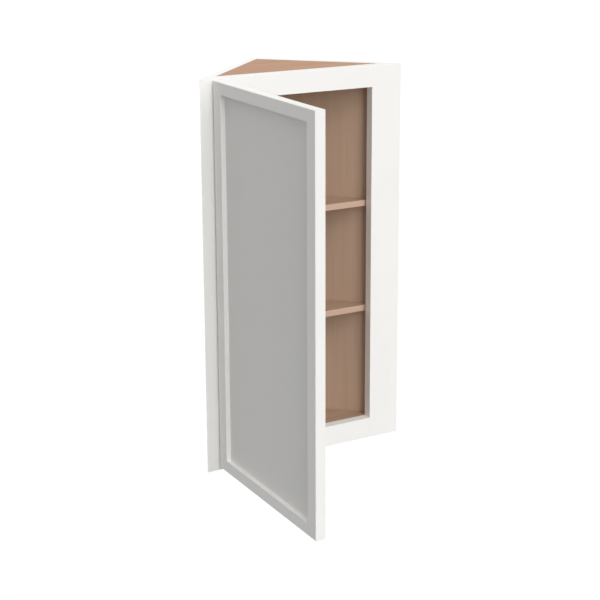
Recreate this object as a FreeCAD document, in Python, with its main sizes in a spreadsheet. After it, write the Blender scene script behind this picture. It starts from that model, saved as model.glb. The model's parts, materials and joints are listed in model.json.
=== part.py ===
import FreeCAD, Part
import math
import os
import re
import Sketcher

# Corner wall cabinet with a diagonal front, one framed door hinged on the left and two shelves.
# Frame: origin at the bottom of the rear right-angle corner, where the two wall sides meet.
# X to the right, Y back into the room corner, Z up, so the diagonal front faces -Y.
# Millimetres and degrees. The door is drawn closed and then turned about its hinge axis to the
# opening that it rests at.

DOC = FreeCAD.newDocument("corner_wall_cabinet")
SIZES = DOC.addObject("Spreadsheet::Sheet", "Sizes")
LAYOUT = DOC.addObject("Spreadsheet::Sheet", "Layout")

# Driving sizes: alias, number, meaning.
DRIVING = [
    ("leg_length", 304.8, "along each wall, from the rear corner to the tip of the face frame"),
    ("height", 762, "overall height"),
    ("panel_thickness", 15.9, "side panels"),
    ("deck_thickness", 12.7, "top and bottom decks"),
    ("dado_depth", 6, "groove in the side panels that holds the bottom deck"),
    ("frame_thickness", 19.05, "stiles and rails of the face frame"),
    ("stile_width", 65.2, "face-frame stile, measured across the front"),
    ("rail_width", 41.6, "face-frame rails"),
    ("dowel_radius", 4, "dowels between rails and stiles"),
    ("dowel_length", 32, "dowels between rails and stiles"),
    ("dowel_spread", 20, "between the two dowels of one joint"),
    ("deck_screw_radius", 2, "shank of the deck screws"),
    ("deck_screw_length", 38, "deck screws, under the head"),
    ("deck_screw_head", 4, "head radius of the deck screws"),
    ("deck_screw_sink", 2.5, "head height, sunk into the side panel"),
    ("deck_screw_near", 70, "first screw of a row, from the rear corner along the wall"),
    ("deck_screw_inset", 52.9, "second screw of a row, back from the panel's front end"),
    ("shelf_thickness", 12.2, "shelf boards"),
    ("lower_shelf_top", 276, "upper face of the lower shelf"),
    ("shelf_steps", 4, "hole pitches between the two shelves"),
    ("hole_pitch", 54.15, "shelf-pin holes, centre to centre"),
    ("holes_per_row", 10, "shelf-pin holes in each row"),
    ("holes_below", 2, "holes of a row below the lower shelf"),
    ("hole_depth", 10, "shelf-pin holes"),
    ("front_row_inset", 32.9, "front row of holes, back from the panel's front end"),
    ("rear_row", 62, "rear row of holes, from the rear corner along the wall"),
    ("shelf_setback", 5, "front edge of a shelf behind the face frame"),
    ("shelf_side_gap", 1.5, "between a shelf and the side panels"),
    ("shelf_clip", 12, "rear corner of a shelf cut off square, from the theoretical corner"),
    ("band_thickness", 1, "edge band on a shelf"),
    ("pin_radius", 2.5, "shelf pins and their holes"),
    ("pin_nose", 9, "shelf pin under the shelf"),
    ("collar_radius", 3.8, "collar of a shelf pin"),
    ("collar_thickness", 1, "collar of a shelf pin"),
    ("seat_gap", 0.3, "a rounded piece to what it carries"),
    ("door_side_overlay", 36.2, "door over each stile"),
    ("door_top_reveal", 3.1, "face frame left bare above the door"),
    ("door_bottom_reveal", 8.3, "face frame left bare below the door"),
    ("door_thickness", 19.05, "door frame"),
    ("door_stile_width", 28, "door stiles"),
    ("door_rail_width", 22.4, "door rails"),
    ("door_recess", 9.1, "panel behind the front of the door frame"),
    ("tongue_thickness", 5, "tongue of the panel and of the rails"),
    ("tongue_length", 7, "tongue of the panel and of the rails"),
    ("groove_room", 0.3, "groove deeper than the tongue"),
    ("edge_ease", 0.7, "small chamfer on the outer front edges of the door"),
    ("door_gap", 2.5, "between the closed door and the face frame"),
    ("rest_opening", 90, "opening of the door as it rests"),
    ("bumper_radius", 4.5, "bumper dots on the back of the door"),
    ("bumper_inset", 16, "bumper dots from the free edge and the ends of the door"),
    ("pivot_inset", 5.3, "hinge axis in from the hinge edge of the door"),
    ("pivot_depth", 9.1, "hinge axis behind the back face of the door"),
    ("hinge_inset", 92, "hinges from the ends of the door"),
    ("cup_radius", 17.5, "hinge cup"),
    ("cup_depth", 9, "hinge cup"),
    ("cup_wall", 0.6, "hinge cup wall"),
    ("cup_floor", 0.8, "hinge cup floor"),
    ("cup_edge", 3, "hinge cup from the hinge edge of the door"),
    ("flange_thickness", 0.9, "flange of the hinge cup"),
    ("flange_width", 2, "flange ring outside the cup"),
    ("ear_spread", 45, "between the two screws of a hinge cup"),
    ("ear_offset", 9.5, "cup screws from the middle of the cup"),
    ("ear_half", 5, "half width of the flange ears"),
    ("cup_screw_radius", 1.6, "cup screws"),
    ("cup_screw_length", 7, "cup screws, below the flange"),
    ("cup_screw_head", 3, "head radius of a cup screw"),
    ("screw_head_height", 0.9, "low heads of the hinge screws"),
    ("notch_half", 8.5, "half height of the notches that the links pass"),
    ("notch_sink", 0.3, "notches below the back of the door"),
    ("link_thickness", 1.4, "links, as bent strip"),
    ("link_drop", 0.2, "links below the middle of the gap between door and face frame"),
    ("link_eye", 2, "radius of a link's eye at the cup"),
    ("link_eye_room", 0.1, "bore of the eye round the cup pin"),
    ("cup_pin_radius", 1, "pins in the hinge cup"),
    ("side_pin_across", 1.9, "side-link cup pin from the hinge axis, door closed"),
    ("side_pin_up", 6.7, "side-link cup pin from the hinge axis, door closed"),
    ("centre_pin_across", 3.3, "centre-link cup pin from the hinge axis, door closed"),
    ("centre_pin_up", 3.3, "centre-link cup pin from the hinge axis, door closed"),
    ("centre_link_half", 2.5, "half width of the centre link, along the pins"),
    ("side_link_inner", 3.4, "inner faces of the pair of side links, from the middle"),
    ("side_link_outer", 5.8, "outer faces of the pair of side links, from the middle"),
    ("short_pin_inner", 3, "inner end of the short cup pins, from the middle"),
    ("arm_pin_radius", 1.25, "pins in the frame bracket"),
    ("slot_half_length", 2.1, "travel of a bracket pin in its slot, each way"),
    ("slot_half_width", 1.1, "play of a bracket pin across its slot, each way"),
    ("slot_wall", 1.1, "steel round a slot"),
    ("side_arm_out", 9.5, "side-link bracket pin from the opening edge of the stile"),
    ("side_arm_back", 10.5, "side-link bracket pin behind the front of the stile"),
    ("centre_arm_out", 10.85, "centre-link bracket pin from the opening edge"),
    ("centre_arm_back", 3.6, "centre-link bracket pin behind the front"),
    ("bracket_thickness", 1.5, "frame bracket"),
    ("bracket_foot_half", 24, "half height of the bracket's foot"),
    ("bracket_foot_front", 2.5, "foot behind the front of the stile"),
    ("cheek_inner", 6.3, "inner faces of the bracket's cheeks, from the middle"),
    ("cheek_reach", 15.5, "cheeks out from the opening edge"),
    ("cheek_front", 0.6, "front edge of the cheeks behind the front of the stile"),
    ("cheek_bevel", 4, "corner cut of the cheeks"),
    ("bracket_screw_spread", 32, "between the two screws of a bracket"),
    ("bracket_screw_radius", 1.8, "bracket screws"),
    ("bracket_screw_length", 16, "bracket screws, under the head"),
    ("bracket_screw_head", 3.8, "head radius of a bracket screw"),
    ("spring_thickness", 0.5, "leaf spring in the bracket"),
    ("damper_radius", 2, "soft-close damper in the cup"),
    ("damper_half", 11.5, "half length of the damper"),
    ("damper_offset", 9, "damper from the middle of the cup"),
]

# Places that follow from the driving sizes: alias, formula, meaning.
DERIVED = [
    ("tip_x", "leg_length / sqrt(2)", "tips of the face frame, each side of the middle"),
    ("front_y", "-leg_length / sqrt(2)", "front of the face frame"),
    ("frame_back_y", "front_y + frame_thickness", "back of the face frame"),
    ("opening_x", "tip_x - stile_width", "opening edges of the stiles"),
    ("wall_shift", "panel_thickness * sqrt(2)", "inner corner of the panels in front of the rear corner"),
    ("panel_reach", "leg_length - frame_thickness * sqrt(2)", "outer face of a side panel"),
    ("deck_screw_far", "panel_reach - deck_screw_inset", "second screw of a row, along the wall"),
    ("front_row", "panel_reach - front_row_inset", "front row of holes, along the wall"),
    ("top_deck_z", "height - deck_thickness", "underside of the top deck"),
    ("floor_z", "rail_width", "upper face of the bottom deck"),
    ("shelf_front_y", "frame_back_y + shelf_setback", "front edge of the shelves"),
    ("shelf_shift", "wall_shift + shelf_side_gap * sqrt(2)", "theoretical rear corner of the shelves"),
    ("lower_pin_z", "lower_shelf_top - shelf_thickness - seat_gap - pin_radius", "pins of the lower shelf"),
    ("upper_shelf_top", "lower_shelf_top + shelf_steps * hole_pitch", "upper face of the upper shelf"),
    ("upper_pin_z", "lower_pin_z + shelf_steps * hole_pitch", "pins of the upper shelf"),
    ("first_hole_z", "lower_pin_z - holes_below * hole_pitch", "lowest hole of each row"),
    ("row_length", "(holes_per_row - 1) * hole_pitch", "first to last hole of a row"),
    ("door_width", "2 * (opening_x + door_side_overlay)", "door"),
    ("door_top_z", "height - door_top_reveal", "top edge of the door"),
    ("door_height", "door_top_z - door_bottom_reveal", "door"),
    ("hinge_edge_x", "-door_width / 2", "hinge edge of the closed door"),
    ("door_back_y", "front_y - door_gap", "back of the closed door"),
    ("door_face_y", "door_back_y - door_thickness", "front of the closed door"),
    ("recess_y", "door_face_y + door_recess", "front of the door panel"),
    ("panel_back_depth", "door_thickness - door_recess", "thickness of the door panel"),
    ("tongue_back_y", "door_back_y - (panel_back_depth - tongue_thickness) / 2", "back of the tongues"),
    ("tongue_face_y", "tongue_back_y - tongue_thickness", "front of the tongues"),
    ("door_inner_x", "door_width / 2 - door_stile_width", "inner edges of the door stiles"),
    ("groove_depth", "tongue_length + groove_room", "grooves of the door frame"),
    ("field_bottom_z", "door_bottom_reveal + door_rail_width", "upper edge of the door's bottom rail"),
    ("field_top_z", "door_top_z - door_rail_width", "lower edge of the door's top rail"),
    ("pivot_x", "hinge_edge_x + pivot_inset", "hinge axis"),
    ("pivot_y", "door_back_y - pivot_depth", "hinge axis"),
    ("rest_turn", "-rest_opening", "turn of the door from closed to rest"),
    ("door_shift_x", "pivot_x - cos(rest_turn) * pivot_x + sin(rest_turn) * pivot_y", "closed to rest"),
    ("door_shift_y", "pivot_y - sin(rest_turn) * pivot_x - cos(rest_turn) * pivot_y", "closed to rest"),
    ("lower_hinge_z", "door_bottom_reveal + hinge_inset", "middle of the lower hinge"),
    ("upper_hinge_z", "door_top_z - hinge_inset", "middle of the upper hinge"),
    ("cup_x", "hinge_edge_x + cup_edge + cup_radius", "middle of the closed hinge cups"),
    ("side_pin_x", "pivot_x + side_pin_across", "side-link cup pins, door closed"),
    ("side_pin_y", "pivot_y + side_pin_up", "side-link cup pins, door closed"),
    ("centre_pin_x", "pivot_x + centre_pin_across", "centre-link cup pin, door closed"),
    ("centre_pin_y", "pivot_y + centre_pin_up", "centre-link cup pin, door closed"),
    ("side_arm_x", "side_arm_out - opening_x", "side-link bracket pin"),
    ("side_arm_y", "front_y + side_arm_back", "side-link bracket pin"),
    ("centre_arm_x", "centre_arm_out - opening_x", "centre-link bracket pin"),
    ("centre_arm_y", "front_y + centre_arm_back", "centre-link bracket pin"),
    ("cheek_outer", "cheek_inner + bracket_thickness", "outer faces of the bracket's cheeks"),
    ("bracket_back", "frame_thickness - 0.6", "bracket behind the front of the stile"),
]

DRIVING_NAMES = {alias for alias, number, meaning in DRIVING}
DERIVED_NAMES = {alias for alias, formula, meaning in DERIVED}
NODES = []


def named(expression, inside_layout=False):
    """Writes the sheet's name before each alias of an expression."""
    def prefix(match):
        word = match.group()
        if word in DRIVING_NAMES:
            return "Sizes." + word
        if word in DERIVED_NAMES and not inside_layout:
            return "Layout." + word
        return word
    return re.sub(r"[A-Za-z_]+", prefix, expression)


def fill_sheets():
    for row, (alias, number, meaning) in enumerate(DRIVING, start=1):
        SIZES.set("A%d" % row, meaning)
        SIZES.set("B%d" % row, str(number))
        SIZES.setAlias("B%d" % row, alias)
    for row, (alias, formula, meaning) in enumerate(DERIVED, start=1):
        LAYOUT.set("A%d" % row, meaning)
        LAYOUT.set("B%d" % row, "=" + named(formula, inside_layout=True))
        LAYOUT.setAlias("B%d" % row, alias)
    DOC.recompute()


def value(expression):
    return float(SIZES.evalExpression(named(expression)))


def vector(x, y, z="0"):
    return FreeCAD.Vector(value(x), value(y), value(z))


# ---------------------------------------------------------------- building blocks

def new_body(label):
    body = DOC.addObject("PartDesign::Body", label)
    body.Label = label
    NODES.append(body)
    return body


def origin_feature(body, role):
    return [item for item in body.Origin.OriginFeatures if item.Role == role][0]


def new_sketch(body, role, lift="0", turn=None):
    """A sketch on one of the body's own planes: XY_Plane (plan), XZ_Plane (x, z) or YZ_Plane
    (y, z), lifted along the plane's normal, which is +Z, -Y or +X, and turned about Z if asked."""
    sketch = body.newObject("Sketcher::SketchObject", body.Name + "_sketch")
    sketch.AttachmentSupport = [(origin_feature(body, role), "")]
    sketch.MapMode = "FlatFace"
    if turn is not None:
        turned = FreeCAD.Rotation(FreeCAD.Vector(0, 1, 0), turn)
        sketch.AttachmentOffset = FreeCAD.Placement(FreeCAD.Vector(0, 0, 0), turned)
    else:
        sketch.setExpression("AttachmentOffset.Base.z", named(lift))
    return sketch


def pin_point(sketch, geometry, point, x, y, at):
    for kind, expression, number in (("DistanceX", x, at.x), ("DistanceY", y, at.y)):
        index = sketch.addConstraint(Sketcher.Constraint(kind, -1, 1, geometry, point, number))
        sketch.setExpression("Constraints[%d]" % index, named(expression))


def add_outline(sketch, points):
    """A closed outline of straight lines through points given as pairs of expressions."""
    corners = [vector(x, y) for x, y in points]
    first = sketch.GeometryCount
    count = len(points)
    for index in range(count):
        sketch.addGeometry(Part.LineSegment(corners[index], corners[(index + 1) % count]), False)
    for index, (x, y) in enumerate(points):
        following = first + (index + 1) % count
        sketch.addConstraint(Sketcher.Constraint("Coincident", first + index, 2, following, 1))
        pin_point(sketch, first + index, 1, x, y, corners[index])


def add_circle(sketch, x, y, radius):
    centre = vector(x, y)
    circle = Part.Circle(centre, FreeCAD.Vector(0, 0, 1), value(radius))
    index = sketch.addGeometry(circle, False)
    pin_point(sketch, index, 3, x, y, centre)
    size = sketch.addConstraint(Sketcher.Constraint("Radius", index, value(radius)))
    sketch.setExpression("Constraints[%d]" % size, named(radius))


def pad(body, sketch, length, both_ways=False):
    feature = body.newObject("PartDesign::Pad", body.Name + "_pad")
    feature.Profile = sketch
    feature.Midplane = both_ways
    feature.setExpression("Length", named(length))
    DOC.recompute()
    return feature


def pocket(body, sketch, depth):
    """A cut of this depth to each side of the sketch, so a sketch on a face cuts that deep."""
    feature = body.newObject("PartDesign::Pocket", body.Name + "_pocket")
    feature.Profile = sketch
    feature.Midplane = True
    feature.setExpression("Length", named("2 * (%s)" % depth))
    before = body.Tip.BaseFeature.Shape.Volume if body.Tip.BaseFeature else 0
    DOC.recompute()
    if before and feature.Shape.Volume > before - 0.01:
        raise RuntimeError(body.Label + ": a cut misses the solid")
    return feature


def row_of(body, feature, length, count):
    """Repeats a cut upwards."""
    pattern = body.newObject("PartDesign::LinearPattern", body.Name + "_row")
    pattern.Originals = [feature]
    pattern.Direction = (origin_feature(body, "Z_Axis"), [""])
    pattern.setExpression("Length", named(length))
    pattern.setExpression("Occurrences", named(count))
    body.Tip = pattern
    DOC.recompute()
    return pattern


def place(item, x="0", y="0", z="0", turn="0"):
    """Places a node by expressions; its turn is about the vertical."""
    item.Placement = FreeCAD.Placement(vector(x, y, z),
                                       FreeCAD.Rotation(FreeCAD.Vector(0, 0, 1), value(turn)))
    for axis, expression in (("x", x), ("y", y), ("z", z)):
        if expression != "0":
            item.setExpression("Placement.Base." + axis, named(expression))
    if turn != "0":
        item.setExpression("Placement.Rotation.Angle", named(turn))


def place_on_door(item, z="0"):
    """Turns what is drawn on the closed door to the opening that the door rests at."""
    place(item, "door_shift_x", "door_shift_y", z, "rest_turn")


def group(label, shapes):
    """A node of separate solids, such as identical fasteners."""
    feature = DOC.addObject("Part::Feature", label)
    feature.Label = label
    feature.Shape = shapes[0] if len(shapes) == 1 else Part.makeCompound(shapes)
    NODES.append(feature)
    return feature


def cylinder(radius, start, end):
    """A round bar between two points."""
    along = end - start
    return Part.makeCylinder(radius, along.Length, start, along)


# ---------------------------------------------------------------- carcass

def side_panel(label, inner, turn, rear):
    """A side panel drawn along local X from the rear corner, with its outer face on local Y = 0
    and its inner face at `inner`, then turned against its wall. Its front end is mitred to meet
    the back of the face frame. `rear` is where it starts: one panel laps the other."""
    sign = "" if inner == "panel_thickness" else "-"
    body = new_body(label)
    plan = new_sketch(body, "XY_Plane")
    add_outline(plan, [(rear, "0"), ("panel_reach", "0"),
                       ("panel_reach - panel_thickness", inner), (rear, inner)])
    pad(body, plan, "height")

    dado = new_sketch(body, "XZ_Plane", "-(%s)" % inner)
    dado_start = "panel_thickness - dado_depth" if rear == "0" else rear
    add_outline(dado, [(dado_start, "floor_z - deck_thickness"), ("leg_length", "floor_z - deck_thickness"),
                       ("leg_length", "floor_z"), (dado_start, "floor_z")])
    pocket(body, dado, "dado_depth")

    holes = new_sketch(body, "XZ_Plane", "-(%s)" % inner)
    for row in ("front_row", "rear_row"):
        add_circle(holes, row, "first_hole_z", "pin_radius")
    row_of(body, pocket(body, holes, "hole_depth"), "row_length", "holes_per_row")

    through = new_sketch(body, "XZ_Plane", "0")
    sinks = new_sketch(body, "XZ_Plane", "0")
    for along in ("deck_screw_near", "deck_screw_far"):
        for level in ("floor_z - deck_thickness / 2", "height - deck_thickness / 2"):
            add_circle(through, along, level, "deck_screw_radius")
            add_circle(sinks, along, level, "deck_screw_head")
    pocket(body, through, "panel_thickness")
    pocket(body, sinks, "deck_screw_sink")
    place(body, turn=turn)
    return sign


def deck(label, bottom, grow):
    """A triangular deck between the side panels, let into them by `grow`."""
    body = new_body(label)
    corner = "wall_shift - (%s) * sqrt(2)" % grow
    reach = "-(frame_back_y) - (%s)" % corner
    plan = new_sketch(body, "XY_Plane", bottom)
    add_outline(plan, [("-(%s)" % reach, "frame_back_y"), (reach, "frame_back_y"), ("0", "-(%s)" % corner)])
    pad(body, plan, "deck_thickness")
    for turn, mirror in ((-45, ""), (45, "-")):
        bores = new_sketch(body, "XZ_Plane", turn=turn)
        for along in ("deck_screw_near", "deck_screw_far"):
            add_circle(bores, "%s(%s)" % (mirror, along), "%s + deck_thickness / 2" % bottom, "deck_screw_radius")
        pocket(body, bores, "deck_screw_sink + deck_screw_length")


def deck_screws():
    """Screws through both side panels into both decks, their heads sunk flush."""
    screws = []
    for side in (1, -1):
        along_wall = FreeCAD.Vector(side, -1, 0) / math.sqrt(2)
        inward = FreeCAD.Vector(-side, -1, 0) / math.sqrt(2)
        for along in ("deck_screw_near", "deck_screw_far"):
            for level in ("floor_z - deck_thickness / 2", "height - deck_thickness / 2"):
                top = along_wall * value(along) + FreeCAD.Vector(0, 0, value(level))
                neck = top + inward * value("deck_screw_sink")
                tip = neck + inward * value("deck_screw_length")
                head = cylinder(value("deck_screw_head"), top, neck)
                screws.append(head.fuse(cylinder(value("deck_screw_radius"), neck, tip)).removeSplitter())
    group("deck_screws", screws)


def frame_stile(label, side):
    """A stile of the face frame: sharp front tip, back bevelled to lie along the wall."""
    body = new_body(label)
    plan = new_sketch(body, "XY_Plane")
    add_outline(plan, [(side + "tip_x", "front_y"), (side + "(opening_x)", "front_y"),
                       (side + "(opening_x)", "frame_back_y"),
                       (side + "(tip_x - frame_thickness)", "frame_back_y")])
    pad(body, plan, "height")
    dowels = new_sketch(body, "YZ_Plane", side + "(opening_x)")
    for level in dowel_levels():
        add_circle(dowels, "front_y + frame_thickness / 2", level, "dowel_radius")
    pocket(body, dowels, "dowel_length / 2")
    if side == "-":
        screws = new_sketch(body, "YZ_Plane", side + "(opening_x)")
        for hinge in ("lower_hinge_z", "upper_hinge_z"):
            for shift in ("+", "-"):
                add_circle(screws, "front_y + frame_thickness / 2",
                           "%s %s bracket_screw_spread / 2" % (hinge, shift), "bracket_screw_radius")
        pocket(body, screws, "bracket_screw_length - bracket_thickness")


def dowel_levels():
    """Heights of the four dowels on each side of the opening."""
    levels = []
    for middle in ("rail_width / 2", "(height - rail_width / 2)"):
        for shift in ("+", "-"):
            levels.append("%s %s dowel_spread / 2" % (middle, shift))
    return levels


def frame_rail(label, bottom):
    body = new_body(label)
    section = new_sketch(body, "YZ_Plane")
    add_outline(section, [("front_y", bottom), ("frame_back_y", bottom),
                          ("frame_back_y", "%s + rail_width" % bottom), ("front_y", "%s + rail_width" % bottom)])
    pad(body, section, "2 * opening_x", both_ways=True)
    for side in ("", "-"):
        dowels = new_sketch(body, "YZ_Plane", side + "(opening_x)")
        for shift in ("+", "-"):
            add_circle(dowels, "front_y + frame_thickness / 2",
                       "%s + rail_width / 2 %s dowel_spread / 2" % (bottom, shift), "dowel_radius")
        pocket(body, dowels, "dowel_length / 2")


def frame_dowels():
    half = FreeCAD.Vector(value("dowel_length / 2"), 0, 0)
    dowels = []
    for side in ("", "-"):
        for level in dowel_levels():
            middle = vector(side + "(opening_x)", "front_y + frame_thickness / 2", level)
            dowels.append(cylinder(value("dowel_radius"), middle - half, middle + half))
    group("frame_dowels", dowels)


def build_carcass():
    side_panel("left_side_panel", "panel_thickness", "-135", "0")
    side_panel("right_side_panel", "-panel_thickness", "-45", "panel_thickness")
    deck("top_deck", "top_deck_z", "0")
    deck("bottom_deck", "floor_z - deck_thickness", "dado_depth")
    deck_screws()
    frame_stile("left_frame_stile", "-")
    frame_stile("right_frame_stile", "")
    frame_rail("top_frame_rail", "(height - rail_width)")
    frame_rail("bottom_frame_rail", "0")
    frame_dowels()


# ---------------------------------------------------------------- shelves

def shelf(name, top):
    """A triangular shelf with its rear corner cut square, and the band on its front edge."""
    board = new_body(name)
    reach = "-(shelf_front_y + band_thickness) - shelf_shift"
    clip = "(shelf_clip)"
    plan = new_sketch(board, "XY_Plane", "%s - shelf_thickness" % top)
    add_outline(plan, [("-(%s)" % reach, "shelf_front_y + band_thickness"), (reach, "shelf_front_y + band_thickness"),
                       (clip, "-shelf_shift - shelf_clip"), ("-" + clip, "-shelf_shift - shelf_clip")])
    pad(board, plan, "shelf_thickness")

    band = new_body(name + "_edge_band")
    reach = "-(shelf_front_y + band_thickness) - shelf_shift"
    plan = new_sketch(band, "XY_Plane", "%s - shelf_thickness" % top)
    add_outline(plan, [("-(%s)" % reach, "shelf_front_y"), (reach, "shelf_front_y"),
                       (reach, "shelf_front_y + band_thickness"), ("-(%s)" % reach, "shelf_front_y + band_thickness")])
    pad(band, plan, "shelf_thickness")


def shelf_pins(label, level):
    """Four pins: a peg in its hole, a collar on the panel and a nose under the shelf."""
    pins = []
    for side in (1, -1):
        along_wall = FreeCAD.Vector(side, -1, 0) / math.sqrt(2)
        inward = FreeCAD.Vector(-side, -1, 0) / math.sqrt(2)
        for row in ("front_row", "rear_row"):
            face = along_wall * value(row) + inward * value("panel_thickness")
            face = face + FreeCAD.Vector(0, 0, value(level))
            start = face - inward * value("hole_depth")
            end = face + inward * value("pin_nose")
            collar = cylinder(value("collar_radius"), face, face + inward * value("collar_thickness"))
            pins.append(cylinder(value("pin_radius"), start, end).fuse(collar).removeSplitter())
    group(label, pins)


def build_shelves():
    shelf("lower_shelf", "lower_shelf_top")
    shelf("upper_shelf", "upper_shelf_top")
    shelf_pins("lower_shelf_pins", "lower_pin_z")
    shelf_pins("upper_shelf_pins", "upper_pin_z")


# ---------------------------------------------------------------- door

def ease_ends(body):
    """Chamfers the front edges at the two ends of a door stile."""
    face_y = value("door_face_y")
    picked = []
    for index, edge in enumerate(body.Shape.Edges, start=1):
        box = edge.BoundBox
        level = box.ZLength < 0.001 and (box.ZMin < value("door_bottom_reveal") + 0.001
                                         or box.ZMax > value("door_top_z") - 0.001)
        if level and abs(box.YMin - face_y) < 0.001 and abs(box.YMax - face_y) < 0.001:
            picked.append("Edge%d" % index)
    solid = body.Tip
    chamfer = body.newObject("PartDesign::Chamfer", body.Name + "_ease")
    chamfer.Base = (solid, picked)
    chamfer.setExpression("Size", named("edge_ease"))
    DOC.recompute()


def door_stile(label, side):
    """A door stile with the groove for the panel in its inner edge and an eased outer edge."""
    outer = side + "(door_width / 2)"
    outer_eased = side + "(door_width / 2 - edge_ease)"
    inner = side + "(door_inner_x)"
    groove = side + "(door_inner_x + groove_depth)"
    body = new_body(label)
    plan = new_sketch(body, "XY_Plane", "door_bottom_reveal")
    add_outline(plan, [(outer, "door_back_y"), (inner, "door_back_y"), (inner, "tongue_back_y"),
                       (groove, "tongue_back_y"), (groove, "tongue_face_y"), (inner, "tongue_face_y"),
                       (inner, "door_face_y"), (outer_eased, "door_face_y"),
                       (outer, "door_face_y + edge_ease")])
    pad(body, plan, "door_height")
    ease_ends(body)
    if side == "-":
        cup_bores(body)
    place_on_door(body)


def cup_bores(body):
    """Bores for the two hinge cups in the back of the door."""
    bores = new_sketch(body, "XZ_Plane", "-door_back_y")
    for hinge in ("lower_hinge_z", "upper_hinge_z"):
        add_circle(bores, "cup_x", hinge, "cup_radius")
    pocket(body, bores, "cup_depth")


def door_rail(label, outer, inner, way):
    """A door rail between the stiles, with stub tongues in their grooves and a groove of its own.
    `way` is the sign from its outer edge to its inner one."""
    body = new_body(label)
    eased_outer = "%s %s edge_ease" % (outer, way)
    back = "+" if way == "-" else "-"
    groove = "%s %s groove_depth" % (inner, back)
    section = new_sketch(body, "YZ_Plane")
    add_outline(section, [("door_back_y", outer), ("door_back_y", inner), ("tongue_back_y", inner),
                          ("tongue_back_y", groove), ("tongue_face_y", groove), ("tongue_face_y", inner),
                          ("door_face_y", inner), ("door_face_y", eased_outer),
                          ("door_face_y + edge_ease", outer)])
    pad(body, section, "2 * door_inner_x", both_ways=True)
    tongue = new_sketch(body, "YZ_Plane")
    add_outline(tongue, [("tongue_back_y", outer), ("tongue_back_y", groove),
                         ("tongue_face_y", groove), ("tongue_face_y", outer)])
    pad(body, tongue, "2 * (door_inner_x + tongue_length)", both_ways=True)
    place_on_door(body)


def door_panel():
    """The recessed panel, flush at the back, with a tongue all round it."""
    body = new_body("door_panel")
    field = new_sketch(body, "XY_Plane", "field_bottom_z")
    add_outline(field, [("-door_inner_x", "door_back_y"), ("door_inner_x", "door_back_y"),
                        ("door_inner_x", "recess_y"), ("-door_inner_x", "recess_y")])
    pad(body, field, "field_top_z - field_bottom_z")
    tongue = new_sketch(body, "XY_Plane", "field_bottom_z - tongue_length")
    reach = "(door_inner_x + tongue_length)"
    add_outline(tongue, [("-" + reach, "tongue_back_y"), (reach, "tongue_back_y"),
                         (reach, "tongue_face_y"), ("-" + reach, "tongue_face_y")])
    pad(body, tongue, "field_top_z - field_bottom_z + 2 * tongue_length")
    cup_bores(body)
    screws = new_sketch(body, "XZ_Plane", "-door_back_y")
    for hinge in ("lower_hinge_z", "upper_hinge_z"):
        for shift in ("+", "-"):
            add_circle(screws, "cup_x + ear_offset", "%s %s ear_spread / 2" % (hinge, shift), "cup_screw_radius")
    pocket(body, screws, "cup_screw_length")
    place_on_door(body)


def door_bumpers():
    """Two soft dots on the free stile, which the closed door rests on."""
    dots = []
    thickness = value("door_gap - seat_gap")
    for level in ("door_bottom_reveal + bumper_inset", "door_top_z - bumper_inset"):
        base = vector("door_width / 2 - bumper_inset", "door_back_y", level)
        dot = Part.makeCylinder(value("bumper_radius"), thickness, base, FreeCAD.Vector(0, 1, 0))
        rim = [edge for edge in dot.Edges if edge.BoundBox.YMin > base.y + thickness - 0.01]
        dots.append(dot.makeFillet(thickness / 2, rim))
    place_on_door(group("door_bumpers", dots))


def build_door():
    door_stile("door_hinge_stile", "-")
    door_stile("door_free_stile", "")
    door_rail("door_top_rail", "door_top_z", "field_top_z", "-")
    door_rail("door_bottom_rail", "door_bottom_reveal", "field_bottom_z", "+")
    door_panel()
    door_bumpers()


# ---------------------------------------------------------------- concealed hinges

def hinge_cup(label, level):
    """The cup in the back of the door: flange with two screw ears, shell, hollow, the notches
    that the links pass, and the bores for its pins. Drawn round z = 0."""
    body = new_body(label)
    flange_middle = "-(door_back_y + flange_thickness / 2)"
    ears = new_sketch(body, "XZ_Plane", flange_middle)
    inner = "cup_x + ear_offset - ear_half"
    outer = "cup_x + ear_offset + ear_half"
    end = "(ear_spread / 2 + ear_half)"
    shoulder = "(ear_spread / 2 + ear_half / 2)"
    add_outline(ears, [(inner, "-" + shoulder), (inner + " + ear_half / 2", "-" + end),
                       (outer + " - ear_half / 2", "-" + end), (outer, "-" + shoulder), (outer, shoulder),
                       (outer + " - ear_half / 2", end), (inner + " + ear_half / 2", end), (inner, shoulder)])
    pad(body, ears, "flange_thickness", both_ways=True)
    ring = new_sketch(body, "XZ_Plane", flange_middle)
    add_circle(ring, "cup_x", "0", "cup_radius + flange_width")
    pad(body, ring, "flange_thickness", both_ways=True)
    shell = new_sketch(body, "XZ_Plane", "-(door_back_y - cup_depth / 2)")
    add_circle(shell, "cup_x", "0", "cup_radius")
    pad(body, shell, "cup_depth", both_ways=True)

    mouth = "-(door_back_y + flange_thickness)"
    hollow = new_sketch(body, "XZ_Plane", mouth)
    add_circle(hollow, "cup_x", "0", "cup_radius - cup_wall")
    pocket(body, hollow, "flange_thickness + cup_depth - cup_floor")
    notch = new_sketch(body, "XZ_Plane", mouth)
    add_outline(notch, [("cup_x - 2 * cup_radius", "-notch_half"), ("cup_x + 2 * cup_radius", "-notch_half"),
                        ("cup_x + 2 * cup_radius", "notch_half"), ("cup_x - 2 * cup_radius", "notch_half")])
    pocket(body, notch, "flange_thickness + notch_sink")
    screws = new_sketch(body, "XZ_Plane", mouth)
    for side in ("", "-"):
        add_circle(screws, "cup_x + ear_offset", side + "ear_spread / 2", "cup_screw_radius")
    pocket(body, screws, "flange_thickness")
    pins = new_sketch(body, "XY_Plane")
    for name in ("side", "centre"):
        add_circle(pins, name + "_pin_x", name + "_pin_y", "cup_pin_radius")
    pocket(body, pins, "cup_radius")
    place_on_door(body, level)


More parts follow.
